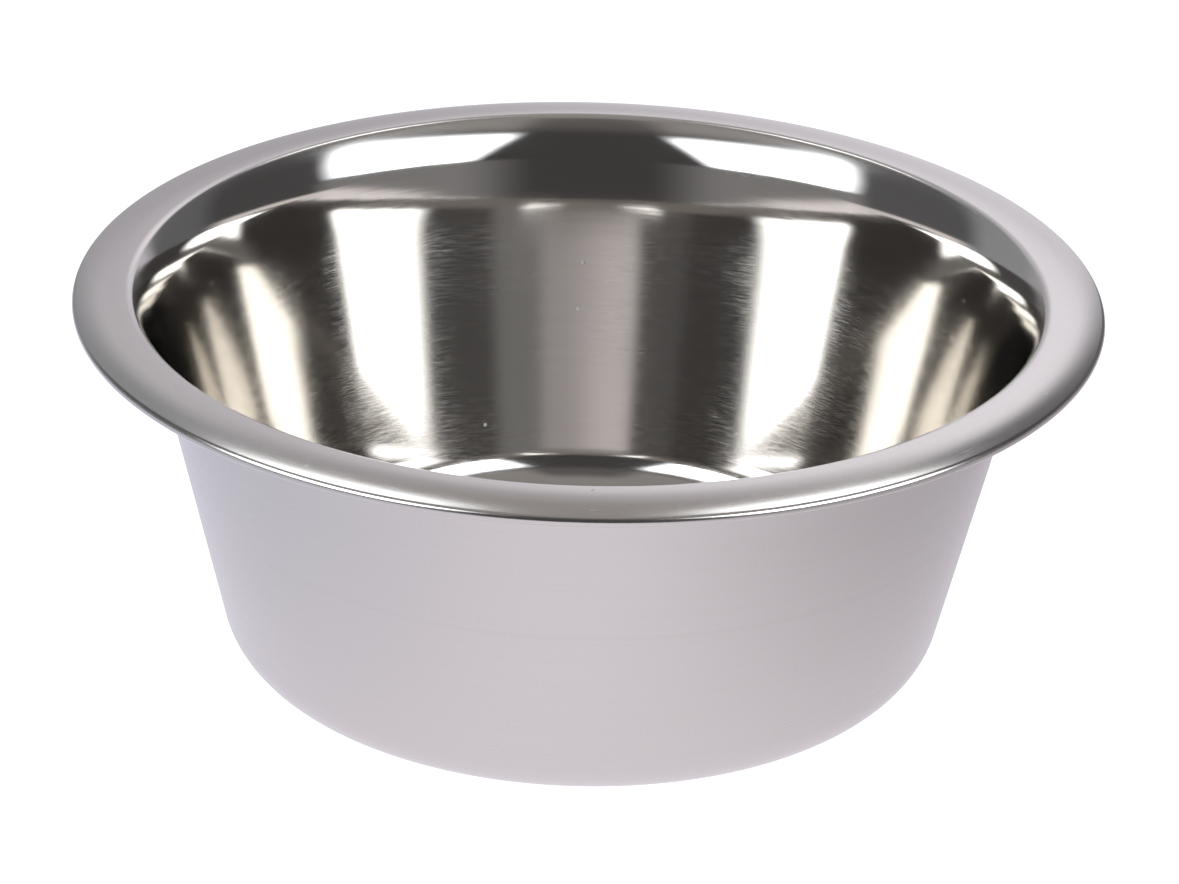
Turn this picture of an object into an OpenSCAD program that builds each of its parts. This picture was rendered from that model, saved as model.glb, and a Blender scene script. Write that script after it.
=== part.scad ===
// Round shaving bowl drawn from one stainless steel sheet.
// Walked from the rim inward and down, the sheet is a hemmed edge, a lip that droops outward, a
// tight shoulder, a flared throat that eases into a tapered wall, a round corner and a flat base.
// Origin: centre of the base, on the surface that the bowl stands on. +Z is up.

/* [Bowl] */
// Diameter across the hemmed edge
rim_d = 140; // [120:1:200]
// Height from the base to the top of the lip
bowl_h = 53.8; // [48:0.1:65]
// Thickness of the sheet
sheet_t = 0.6; // [0.4:0.1:1.2]

/* [Hem and lip] */
// Gap inside the hem, between the lip and the flap folded back under it
hem_gap = 0.25; // [0.2:0.05:1]
// Length of the flap
flap_l = 1.6; // [0.5:0.1:2.5]
// Width of the lip, from the hem to the shoulder
lip_w = 6.55; // [4:0.05:8]
// Slope of the lip at the hem, in degrees, falling outward
lip_droop = 18; // [4:0.5:24]
// Slope of the lip at the shoulder, in degrees, falling inward
lip_fall = 0; // [0:0.5:12]

/* [Shoulder and throat] */
// Radius of the shoulder, between the lip and the throat
shoulder_r = 1.1; // [0.8:0.1:2.5]
// Slope of the throat at the shoulder, in degrees from level
throat_slope = 52; // [44:1:62]
// Radius of the throat's flare
throat_r = 16.5; // [10:0.5:20]
// Slope where the flare eases into the wall, in degrees from level
ease_slope = 73; // [70:0.5:75]
// Radius of the ease
ease_r = 110; // [30:5:120]

/* [Wall and base] */
// Taper of the wall, in degrees from upright
wall_taper = 13.5; // [11:0.1:14.5]
// Radius of the corner between the wall and the base
corner_r = 9; // [4:0.5:12]

/* [Hidden] */
$fn = 180;

// The section is drawn by its bends. A slope is the angle that the sheet falls at, walked inward
// from the rim: 0 is level, 90 is straight down, -90 is straight up, and -180 is level, walked outward.
// A bend's radius goes to the middle of the sheet. It is positive where the centre lies on the
// sheet's outer face's side, and negative where the centre lies inside the bowl.
bend_step = 4; // most degrees between two points of a bend
hem_r = (sheet_t + hem_gap) / 2;
crown_r = lip_w / (sin(lip_droop) + sin(lip_fall));
wall_slope = 90 - wall_taper;

// Direction of the walk, and direction out through the outer face, at a slope
function along(slope) = [-cos(slope), -sin(slope)];
function outward(slope) = [sin(slope), -cos(slope)];

// Centre of the bend after centre c and radius r, which meet at a slope with a straight run between
function next_centre(c, r, next_r, slope, run = 0) =
    c + (next_r - r) * outward(slope) + run * along(slope);

// The hem's centre is as far below the crown's top as its place on the crown's circle puts it.
hem_drop = hem_r + (crown_r - hem_r) * (1 - cos(lip_droop));
hem_c = [rim_d / 2 - hem_r - sheet_t / 2, bowl_h - sheet_t / 2 - hem_drop];
crown_c = next_centre(hem_c, hem_r, crown_r, -lip_droop);
shoulder_c = next_centre(crown_c, crown_r, shoulder_r, lip_fall);
throat_c = next_centre(shoulder_c, shoulder_r, throat_r, throat_slope);
ease_c = next_centre(throat_c, throat_r, ease_r, ease_slope);

// The wall runs from the ease to the corner.
wall_top = ease_c.y + ease_r * cos(wall_slope);
wall_foot = sheet_t / 2 + corner_r * (1 - cos(wall_slope));
wall_l = (wall_top - wall_foot) / sin(wall_slope);
corner_c = next_centre(ease_c, ease_r, -corner_r, wall_slope, wall_l);

// Points of one bend, moved out from the middle of the sheet by a distance
function bend(c, r, from, to, out) =
    let (steps = ceil(abs(to - from) / bend_step))
    [for (i = [0:steps]) c - (r - out) * outward(from + (to - from) * i / steps)];

// Bends that meet with no run between them share a point, which is kept once.
function distinct(points) =
    [for (i = [0:len(points) - 1]) if (i == 0 || norm(points[i] - points[i - 1]) > 0.001) points[i]];

// One face of the sheet, moved out from its middle, from the flap's free end to the axis
function face(out) =
    let (flap_slope = -180 - lip_droop)
    distinct(concat(
        [hem_c - (hem_r - out) * outward(flap_slope) - flap_l * along(flap_slope)],
        bend(hem_c, hem_r, flap_slope, -lip_droop, out),
        bend(crown_c, crown_r, -lip_droop, lip_fall, out),
        bend(shoulder_c, shoulder_r, lip_fall, throat_slope, out),
        bend(throat_c, throat_r, throat_slope, ease_slope, out),
        bend(ease_c, ease_r, ease_slope, wall_slope, out),
        bend(corner_c, -corner_r, wall_slope, 0, out),
        [[0, sheet_t / 2 - out]]
    ));

function reversed(points) = [for (i = [len(points) - 1:-1:0]) points[i]];

module bowl() {
    color("silver")
    rotate_extrude()
    polygon(concat(face(-sheet_t / 2), reversed(face(sheet_t / 2))));
}

bowl();
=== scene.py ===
"""Studio picture of a drawn stainless steel shaving bowl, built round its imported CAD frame."""
import math

import bmesh
import bpy
from mathutils import Matrix, Vector


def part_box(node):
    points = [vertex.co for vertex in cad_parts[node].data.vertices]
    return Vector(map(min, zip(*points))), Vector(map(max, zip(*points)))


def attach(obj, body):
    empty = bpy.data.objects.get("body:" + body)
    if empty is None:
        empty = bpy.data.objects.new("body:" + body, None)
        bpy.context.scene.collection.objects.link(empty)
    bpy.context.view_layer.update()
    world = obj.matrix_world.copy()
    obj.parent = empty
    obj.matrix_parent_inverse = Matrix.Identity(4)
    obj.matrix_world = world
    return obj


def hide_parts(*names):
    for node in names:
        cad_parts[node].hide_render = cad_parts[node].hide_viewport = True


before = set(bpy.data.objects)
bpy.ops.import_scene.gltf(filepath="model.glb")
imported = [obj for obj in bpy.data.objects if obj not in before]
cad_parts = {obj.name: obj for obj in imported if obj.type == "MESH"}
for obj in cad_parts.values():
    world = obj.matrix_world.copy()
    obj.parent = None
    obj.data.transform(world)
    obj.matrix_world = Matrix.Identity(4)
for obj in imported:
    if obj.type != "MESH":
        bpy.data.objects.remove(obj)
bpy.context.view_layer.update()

# Overall size, from the frame. All lengths are in metres, and all angles in degrees.
bowl_low, bowl_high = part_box("bowl")
RIM_R = (bowl_high[0] - bowl_low[0]) / 2
BOWL_H = bowl_high[2]

# The sheet's section, as in the CAD part. A slope is how steeply the sheet falls, walked from the
# rim inward: 0 is level and 90 is straight down.
SHEET_T = 0.0006
HEM_GAP = 0.00025
FLAP_L = 0.0016
LIP_W = 0.00655
LIP_DROOP = 18
LIP_FALL = 0
SHOULDER_R = 0.0011
THROAT_SLOPE = 52
THROAT_R = 0.0165
EASE_SLOPE = 73
EASE_R = 0.11
WALL_TAPER = 13.5
WALL_SLOPE = 90 - WALL_TAPER
CORNER_R = 0.009

# Mesh: points round the bowl, most degrees and most metres between two rings of a bend, and most
# metres between two rings of a straight run
SEGMENTS = 288
BEND_STEP = 2
ARC_STEP = 0.002
RUN_STEP = 0.004


# Camera ---------------------------------------------------------------------------------------
CAMERA_DISTANCE = 12 * RIM_R
CAMERA_ELEVATION = 23.74
CAMERA_LENS = 188.9
CAMERA_SENSOR = 36
# Height of the point on the axis that it looks at, and how it is then turned to frame the bowl
AIM_Z = 0.053
AIM_YAW = -0.04
AIM_PITCH = -1.386
CAMERA_ROLL = -1.51


def make_camera():
    """Looks along +Y and down at the rim's centre, then turns a little to frame the bowl."""
    data = bpy.data.cameras.new("camera")
    data.lens = CAMERA_LENS
    data.sensor_width = CAMERA_SENSOR
    data.sensor_fit = "HORIZONTAL"
    camera = bpy.data.objects.new("camera", data)
    bpy.context.scene.collection.objects.link(camera)
    elevation = math.radians(CAMERA_ELEVATION)
    back = Vector((0, -math.cos(elevation), math.sin(elevation)))
    facing = back.to_track_quat("Z", "Y").to_matrix().to_4x4()
    turn = (
        Matrix.Rotation(math.radians(AIM_YAW), 4, "Y")
        @ Matrix.Rotation(math.radians(AIM_PITCH), 4, "X")
        @ Matrix.Rotation(math.radians(-CAMERA_ROLL), 4, "Z")
    )
    place = Matrix.Translation(Vector((0, 0, AIM_Z)) + back * CAMERA_DISTANCE)
    camera.matrix_world = place @ facing @ turn
    bpy.context.scene.camera = camera


make_camera()


# Section --------------------------------------------------------------------------------------
def along(slope):
    """Direction of the walk at a slope."""
    a = math.radians(slope)
    return Vector((-math.cos(a), -math.sin(a)))


def outward(slope):
    """Direction out through the sheet's outer face at a slope."""
    a = math.radians(slope)
    return Vector((math.sin(a), -math.cos(a)))


def next_centre(centre, radius, next_radius, slope, run=0.0):
    """Centre of the next bend, which meets this one at a slope with a straight run between."""
    return centre + outward(slope) * (next_radius - radius) + along(slope) * run


def section():
    """Rows of (point on the sheet's middle, slope), from the hem's free end to the base's centre."""
    hem_r = (SHEET_T + HEM_GAP) / 2
    crown_r = LIP_W / (math.sin(math.radians(LIP_DROOP)) + math.sin(math.radians(LIP_FALL)))
    flap_slope = -180 - LIP_DROOP
    hem_drop = hem_r + (crown_r - hem_r) * (1 - math.cos(math.radians(LIP_DROOP)))
    hem = Vector((RIM_R - hem_r - SHEET_T / 2, BOWL_H - SHEET_T / 2 - hem_drop))
    crown = next_centre(hem, hem_r, crown_r, -LIP_DROOP)
    shoulder = next_centre(crown, crown_r, SHOULDER_R, LIP_FALL)
    throat = next_centre(shoulder, SHOULDER_R, THROAT_R, THROAT_SLOPE)
    ease = next_centre(throat, THROAT_R, EASE_R, EASE_SLOPE)
    wall_top = ease.y + EASE_R * math.cos(math.radians(WALL_SLOPE))
    wall_foot = SHEET_T / 2 + CORNER_R * (1 - math.cos(math.radians(WALL_SLOPE)))
    wall_l = (wall_top - wall_foot) / math.sin(math.radians(WALL_SLOPE))
    corner = next_centre(ease, EASE_R, -CORNER_R, WALL_SLOPE, wall_l)
    bends = [
        (hem, hem_r, flap_slope, -LIP_DROOP),
        (crown, crown_r, -LIP_DROOP, LIP_FALL),
        (shoulder, SHOULDER_R, LIP_FALL, THROAT_SLOPE),
        (throat, THROAT_R, THROAT_SLOPE, EASE_SLOPE),
        (ease, EASE_R, EASE_SLOPE, WALL_SLOPE),
        (corner, -CORNER_R, WALL_SLOPE, 0),
    ]
    rows = [(hem - outward(flap_slope) * hem_r - along(flap_slope) * FLAP_L, flap_slope)]
    for centre, radius, start, end in bends:
        turn = abs(end - start)
        steps = math.ceil(max(turn / BEND_STEP, math.radians(turn) * abs(radius) / ARC_STEP))
        for i in range(steps + 1):
            slope = start + (end - start) * i / steps
            add_run(rows, centre - outward(slope) * radius, slope)
    add_run(rows, Vector((0, SHEET_T / 2)), 0)
    return rows


def add_run(rows, point, slope):
    """Adds a point, and enough points on the straight run before it."""
    last = rows[-1][0]
    gap = (point - last).length
    if gap < 1e-7:
        return
    steps = math.ceil(gap / RUN_STEP)
    for i in range(1, steps):
        rows.append((last.lerp(point, i / steps), slope))
    rows.append((point, slope))


# Bowl -----------------------------------------------------------------------------------------
def make_bowl(materials):
    """Both faces of the sheet, turned round the axis and joined at the flap's free end."""
    rows = section()
    half = SHEET_T / 2
    inner = [(p - outward(a) * half, -outward(a)) for p, a in rows]
    outer = [(p + outward(a) * half, outward(a)) for p, a in rows]
    points, normals, faces, finishes = [], [], [], []

    def ring(point, normal):
        """Indices of one ring's points, or of the single point on the axis."""
        first = len(points)
        count = 1 if point.x < 1e-9 else SEGMENTS
        for k in range(count):
            turn = 2 * math.pi * k / SEGMENTS
            points.append((point.x * math.cos(turn), point.x * math.sin(turn), point.y))
            normals.append((normal.x * math.cos(turn), normal.x * math.sin(turn), normal.y))
        return [first + k % count for k in range(SEGMENTS)]

    def strip(a, b, finish):
        """Faces between two rings, with 0 for the polished finish and 1 for the satin one."""
        for k in range(SEGMENTS):
            n = (k + 1) % SEGMENTS
            corners = [a[k], a[n], b[n], b[k]]
            faces.append(list(dict.fromkeys(corners)))
            finishes.append(finish)

    inner_rings = [ring(p, n) for p, n in inner]
    outer_rings = [ring(p, n) for p, n in outer]
    for a, b in zip(inner_rings, inner_rings[1:]):
        strip(a, b, 0)
    for a, b in zip(outer_rings, outer_rings[1:]):
        strip(b, a, 1)
    strip(outer_rings[0], inner_rings[0], 1)

    mesh = bpy.data.meshes.new("bowl_sheet")
    mesh.from_pydata(points, [], faces)
    for material in materials:
        mesh.materials.append(material)
    mesh.polygons.foreach_set("material_index", finishes)
    mesh.polygons.foreach_set("use_smooth", [True] * len(faces))
    mesh.update()
    mesh.normals_split_custom_set_from_vertices(normals)
    bowl = bpy.data.objects.new("bowl_sheet", mesh)
    bpy.context.scene.collection.objects.link(bowl)
    return bowl


# Materials ------------------------------------------------------------------------------------
# Steel, and the shade that its streaks, blotches and dark line tend towards
STEEL_COLOUR = (0.645, 0.62, 0.58)
STEEL_DARK = (0.61, 0.585, 0.545)

# Polished face: its own roughness, and what its marks add to it. The grain adds more in a blotch,
# and less above the wall's top.
POLISH = 0.05
GRAIN_HAZE = 0.1
BLOTCH_HAZE = 0.17
GRAIN_ABOVE_WALL = 0.3
WALL_TOP_Z = 0.036
THROAT_Z = 0.043
SCRATCH_HAZE = 0.12
DUST_HAZE = 0.5
LIP_HAZE = 0.12
# Depths of its gentle waves and of its drawn streaks
WAVE_DEPTH = 0.00003
STREAK_DEPTH = 0.000002

# Satin face: its own roughness, what its grain and streaks add to it, and their depths
SATIN = 0.14
SATIN_GRAIN_HAZE = 0.12
SATIN_STREAK_HAZE = 0.1
SATIN_GRAIN_DEPTH = 0.0000015
SATIN_STREAK_DEPTH = 0.0000025
# A faint dark line round the outside of the wall
RING_Z = 0.028
RING_HALF = 0.0006
# How much of STEEL_DARK the satin face's streaks, blotches and dark line bring in
STREAK_SHADE = 0.35
BLOTCH_SHADE = 0.25
RING_SHADE = 0.3


def new_material(name):
    material = bpy.data.materials.new(name)
    material.use_nodes = True
    return material, material.node_tree.nodes, material.node_tree.links


def math_node(tree, operation, a, b=0.0):
    """One Math node; a and b are sockets or numbers."""
    node = tree.nodes.new("ShaderNodeMath")
    node.operation = operation
    for socket, value in zip(node.inputs, (a, b)):
        if isinstance(value, bpy.types.NodeSocket):
            tree.links.new(value, socket)
        else:
            socket.default_value = value
    return node.outputs[0]


def rise(tree, value, start, end, low=0.0, high=1.0):
    """Goes smoothly from low at start to high at end."""
    node = tree.nodes.new("ShaderNodeMapRange")
    node.interpolation_type = "SMOOTHSTEP"
    for socket, number in zip(("From Min", "From Max", "To Min", "To Max"), (start, end, low, high)):
        node.inputs[socket].default_value = number
    tree.links.new(value, node.inputs["Value"])
    return node.outputs[0]


def fall(tree, value, start, end):
    """Goes smoothly from 1 at start to 0 at end."""
    return rise(tree, value, start, end, 1.0, 0.0)


def product(tree, *values):
    """Values multiplied together; the first is a socket, and the others are sockets or numbers."""
    result = values[0]
    for value in values[1:]:
        result = math_node(tree, "MULTIPLY", result, value)
    return result


def total(tree, *values):
    """Values added together; the first is a socket, and the others are sockets or numbers."""
    result = values[0]
    for value in values[1:]:
        result = math_node(tree, "ADD", result, value)
    return result


def noise(tree, vector, scale, detail=2.0):
    node = tree.nodes.new("ShaderNodeTexNoise")
    node.inputs["Scale"].default_value = scale
    node.inputs["Detail"].default_value = detail
    tree.links.new(vector, node.inputs["Vector"])
    return node.outputs["Fac"]


class Turned:
    """Places on a turned surface: its radius, its height, and textures drawn out round the axis."""

    def __init__(self, tree):
        self.tree = tree
        self.place = tree.nodes.new("ShaderNodeTexCoord").outputs["Object"]
        split = tree.nodes.new("ShaderNodeSeparateXYZ")
        tree.links.new(self.place, split.inputs[0])
        x, y, self.height = split.outputs
        self.radius = math_node(tree, "SQRT", total(tree, product(tree, x, x), product(tree, y, y)))
        self.east = math_node(tree, "DIVIDE", x, self.radius)
        self.north = math_node(tree, "DIVIDE", y, self.radius)
        # It grows all the way along the section, from the base's centre to the lip.
        self.across = total(tree, self.height, self.radius)

    def drawn_noise(self, length, width, detail=2.0):
        """Noise in marks about this long round the bowl and this wide across its section, in metres."""
        vector = self.tree.nodes.new("ShaderNodeCombineXYZ")
        parts = (
            product(self.tree, self.east, RIM_R / length),
            product(self.tree, self.north, RIM_R / length),
            product(self.tree, self.across, 1 / width),
        )
        for part, socket in zip(parts, vector.inputs):
            self.tree.links.new(part, socket)
        return noise(self.tree, vector.outputs[0], 1.0, detail)


def specks(tree, place, spacing, size):
    """Dots of this size, one in some of the cells of a Voronoi pattern."""
    cells = tree.nodes.new("ShaderNodeTexVoronoi")
    cells.inputs["Scale"].default_value = 1 / spacing
    tree.links.new(place, cells.inputs["Vector"])
    dot = fall(tree, cells.outputs["Distance"], 0.5 * size / spacing, size / spacing)
    return product(tree, dot, rise(tree, cells.outputs["Color"], 0.62, 0.64))


def bumped(tree, shader, bumps):
    """Bumps from rows of (height, depth), each on top of the one before."""
    normal = None
    for height, depth in bumps:
        bump = tree.nodes.new("ShaderNodeBump")
        bump.inputs["Distance"].default_value = depth
        tree.links.new(height, bump.inputs["Height"])
        if normal is not None:
            tree.links.new(normal, bump.inputs["Normal"])
        normal = bump.outputs[0]
    tree.links.new(normal, shader.inputs["Normal"])


def tinted(tree, shader, mask):
    """Steel, darker where the mask is 1."""
    tint = tree.nodes.new("ShaderNodeMix")
    tint.data_type = "RGBA"
    tint.inputs[6].default_value = (*STEEL_COLOUR, 1)
    tint.inputs[7].default_value = (*STEEL_DARK, 1)
    tree.links.new(mask, tint.inputs[0])
    tree.links.new(tint.outputs[2], shader.inputs["Base Color"])


def polished_steel():
    """Buffed inside: a mirror with fine turned grain, thin scratches, faint blotches and dust."""
    material, nodes, links = new_material("polished_steel")
    tree = material.node_tree
    shader = nodes["Principled BSDF"]
    shader.inputs["Metallic"].default_value = 1
    turned = Turned(tree)
    grain = rise(tree, turned.drawn_noise(length=0.003, width=0.00005), 0.35, 0.75)
    scratches = rise(tree, turned.drawn_noise(length=0.004, width=0.00016, detail=1), 0.76, 0.82)
    blotches = rise(tree, noise(tree, turned.place, scale=60, detail=5), 0.4, 0.75)
    streaks = turned.drawn_noise(length=0.03, width=0.0012, detail=3)
    waves = noise(tree, turned.place, scale=45, detail=1)
    dust = specks(tree, turned.place, spacing=0.007, size=0.00035)
    lip = rise(tree, turned.radius, RIM_R - LIP_W - 0.003, RIM_R - LIP_W - 0.0015)
    wall = fall(tree, turned.height, WALL_TOP_Z, THROAT_Z)
    grain_haze = product(
        tree,
        grain,
        rise(tree, blotches, 0, 1, GRAIN_HAZE, BLOTCH_HAZE),
        rise(tree, wall, 0, 1, GRAIN_ABOVE_WALL, 1.0),
    )
    roughness = total(
        tree,
        grain_haze,
        product(tree, scratches, SCRATCH_HAZE),
        product(tree, dust, DUST_HAZE),
        product(tree, lip, LIP_HAZE),
        POLISH,
    )
    links.new(roughness, shader.inputs["Roughness"])
    tinted(tree, shader, streaks)
    bumped(tree, shader, [(waves, WAVE_DEPTH), (streaks, STREAK_DEPTH)])
    return material


def satin_steel():
    """Brushed outside: soft reflections, drawn out round the bowl in faint streaks."""
    material, nodes, links = new_material("satin_steel")
    tree = material.node_tree
    shader = nodes["Principled BSDF"]
    shader.inputs["Metallic"].default_value = 1
    turned = Turned(tree)
    streaks = turned.drawn_noise(length=0.03, width=0.0008, detail=4)
    grain = turned.drawn_noise(length=0.004, width=0.00015)
    blotches = rise(tree, noise(tree, turned.place, scale=30, detail=4), 0.35, 0.7)
    from_ring = math_node(tree, "ABSOLUTE", math_node(tree, "SUBTRACT", turned.height, RING_Z))
    ring = fall(tree, from_ring, 0, RING_HALF)
    roughness = total(
        tree,
        product(tree, grain, SATIN_GRAIN_HAZE),
        product(tree, streaks, SATIN_STREAK_HAZE),
        SATIN,
    )
    links.new(roughness, shader.inputs["Roughness"])
    shade = total(
        tree,
        product(tree, streaks, STREAK_SHADE),
        product(tree, blotches, BLOTCH_SHADE),
        product(tree, ring, RING_SHADE),
    )
    tinted(tree, shader, shade)
    bumped(tree, shader, [(streaks, SATIN_STREAK_DEPTH), (grain, SATIN_GRAIN_DEPTH)])
    return material


bowl = make_bowl([polished_steel(), satin_steel()])
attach(bowl, "root")
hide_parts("bowl")


# Studio ---------------------------------------------------------------------------------------
TENT_RADIUS = 0.4
TENT_CENTRE = (0, 0, 0.05)
# Height of the softboxes' feet, and the turn past which the rear lights' feet rise
SOFTBOX_FOOT = 15
REAR_CORNER = 140
# Half the floor's width, and its height just under the bowl's base
FLOOR_HALF = 1.5
FLOOR_Z = -0.0002


def tent_material():
    """Lights on the ball, placed by their turn from the camera's side and their height above level."""
    material, nodes, links = new_material("light_tent")
    tree = material.node_tree
    nodes.remove(nodes["Principled BSDF"])
    place = nodes.new("ShaderNodeSeparateXYZ")
    links.new(nodes.new("ShaderNodeTexCoord").outputs["Object"], place.inputs[0])
    x, y, z = place.outputs
    aside = math_node(tree, "ABSOLUTE", x)
    turn = math_node(tree, "DEGREES", math_node(tree, "ARCTAN2", aside, product(tree, y, -1)))
    height = math_node(tree, "ARCSINE", math_node(tree, "DIVIDE", z, TENT_RADIUS))
    height = math_node(tree, "DEGREES", height)
    right = rise(tree, x, -0.4 * TENT_RADIUS, 0.4 * TENT_RADIUS)

    # Two large softboxes, one on each side of the camera, wider towards the top
    above = math_node(tree, "SUBTRACT", height, SOFTBOX_FOOT)
    inner_edge = total(tree, turn, product(tree, above, 0.4))
    outer_edge = math_node(tree, "SUBTRACT", turn, product(tree, above, 0.3))
    softboxes = product(
        tree,
        rise(tree, inner_edge, 31, 41),
        fall(tree, outer_edge, 66, 83),
        rise(tree, height, 14, 17),
        fall(tree, height, 37, 47),
    )
    # Two smaller lights high behind the bowl, whose feet rise towards each other
    beyond = math_node(tree, "MAXIMUM", math_node(tree, "SUBTRACT", turn, REAR_CORNER), 0)
    rear_foot = math_node(tree, "SUBTRACT", height, product(tree, beyond, 0.8))
    rear = product(
        tree,
        rise(tree, turn, 134, 142),
        fall(tree, turn, 166, 172),
        rise(tree, rear_foot, 47, 50),
        fall(tree, height, 63, 69),
    )
    # A dim panel under each softbox, and a thin strip near the horizon
    below = product(
        tree,
        rise(tree, turn, 15, 40),
        fall(tree, turn, 76, 86),
        fall(tree, height, 13, 17),
    )
    strip = product(
        tree,
        rise(tree, turn, 38, 60),
        fall(tree, turn, 112, 128),
        rise(tree, height, 2.5, 3.5),
        fall(tree, height, 5, 6.8),
    )
    # A backdrop, dimmer at its foot, at its top and to the left, and dim sides, brighter next to it
    back = product(
        tree,
        rise(tree, turn, 147, 157),
        rise(tree, height, 12, 26, 0.8, 1.12),
        rise(tree, height, 33, 58, 1.0, 0.03),
        rise(tree, right, 0, 1, 0.56, 1.0),
    )
    sides = product(
        tree,
        rise(tree, turn, 60, 90),
        fall(tree, turn, 147, 157),
        rise(tree, turn, 118, 130, 1.0, 5.0),
        fall(tree, height, 44, 54),
        rise(tree, right, 0, 1, 0.06, 0.02),
    )
    # A ceiling, dimmer above the camera
    front_gap = product(tree, fall(tree, turn, 15, 32), fall(tree, height, 55, 80))
    ceiling = product(tree, rise(tree, height, 42, 54), rise(tree, front_gap, 0, 1, 1.0, 0.25))

    lights = [
        (softboxes, (0.95, 1.0, 1.08), 6.0),
        (rear, (0.95, 1.0, 1.08), 3.5),
        (below, (1.0, 1.0, 1.03), 0.2),
        (strip, (1.0, 0.93, 0.93), 0.8),
        (back, (0.97, 0.95, 1.05), 1.0),
        (sides, (0.93, 0.98, 1.08), 1.0),
        (ceiling, (1.0, 0.95, 0.93), 0.28),
        (None, (1.0, 0.95, 1.0), 0.07),
    ]
    light = None
    for mask, colour, strength in lights:
        shader = nodes.new("ShaderNodeEmission")
        shader.inputs["Color"].default_value = (*colour, 1)
        if mask is None:
            shader.inputs["Strength"].default_value = strength
        else:
            links.new(product(tree, mask, strength), shader.inputs["Strength"])
        if light is None:
            light = shader
            continue
        both = nodes.new("ShaderNodeAddShader")
        links.new(light.outputs[0], both.inputs[0])
        links.new(shader.outputs[0], both.inputs[1])
        light = both
    links.new(light.outputs[0], nodes["Material Output"].inputs["Surface"])
    return material


def make_tent():
    """A ball of light round the bowl, which only reflections see."""
    mesh = bpy.data.meshes.new("light_tent")
    form = bmesh.new()
    bmesh.ops.create_uvsphere(form, u_segments=96, v_segments=48, radius=TENT_RADIUS)
    form.to_mesh(mesh)
    form.free()
    mesh.polygons.foreach_set("use_smooth", [True] * len(mesh.polygons))
    mesh.materials.append(tent_material())
    tent = bpy.data.objects.new("light_tent", mesh)
    tent.location = TENT_CENTRE
    bpy.context.scene.collection.objects.link(tent)
    tent.visible_camera = False


def floor_material():
    """Pale paper glowing with painted light, its painted shade dimmer and cooler to the left and dimmer
    to the right.
    """
    material, nodes, links = new_material("floor_painted_glow")
    tree = material.node_tree
    nodes.remove(nodes["Principled BSDF"])
    place = nodes.new("ShaderNodeSeparateXYZ")
    links.new(nodes.new("ShaderNodeTexCoord").outputs["Object"], place.inputs[0])
    x = place.outputs[0]
    shader = nodes.new("ShaderNodeEmission")
    tint = nodes.new("ShaderNodeMix")
    tint.data_type = "RGBA"
    tint.inputs[6].default_value = (0.96, 0.92, 1.03, 1)
    tint.inputs[7].default_value = (0.7, 0.72, 0.86, 1)
    # Painted shade in the floor's painted glow: darker and bluer to the left, and dimmer to the right
    links.new(fall(tree, x, -0.13, 0.0), tint.inputs[0])
    links.new(tint.outputs[2], shader.inputs["Color"])
    links.new(rise(tree, x, 0.0, 0.12, 1.0, 0.57), shader.inputs["Strength"])
    links.new(shader.outputs["Emission"], nodes["Material Output"].inputs["Surface"])
    return material


def make_floor():
    """Paper below the bowl, glowing with painted light, which only reflections see: the background
    stays plain white.
    """
    mesh = bpy.data.meshes.new("floor")
    w = FLOOR_HALF
    mesh.from_pydata([(-w, -w, 0), (w, -w, 0), (w, w, 0), (-w, w, 0)], [], [(0, 1, 2, 3)])
    mesh.materials.append(floor_material())
    floor = bpy.data.objects.new("floor", mesh)
    floor.location.z = FLOOR_Z
    floor.visible_camera = False
    bpy.context.scene.collection.objects.link(floor)


make_tent()
make_floor()
world = bpy.data.worlds.new("studio")
bpy.context.scene.world = world
world.use_nodes = True
world.node_tree.nodes["Background"].inputs["Color"].default_value = (1.2, 1.2, 1.2, 1)
bpy.context.scene.view_settings.view_transform = "Standard"
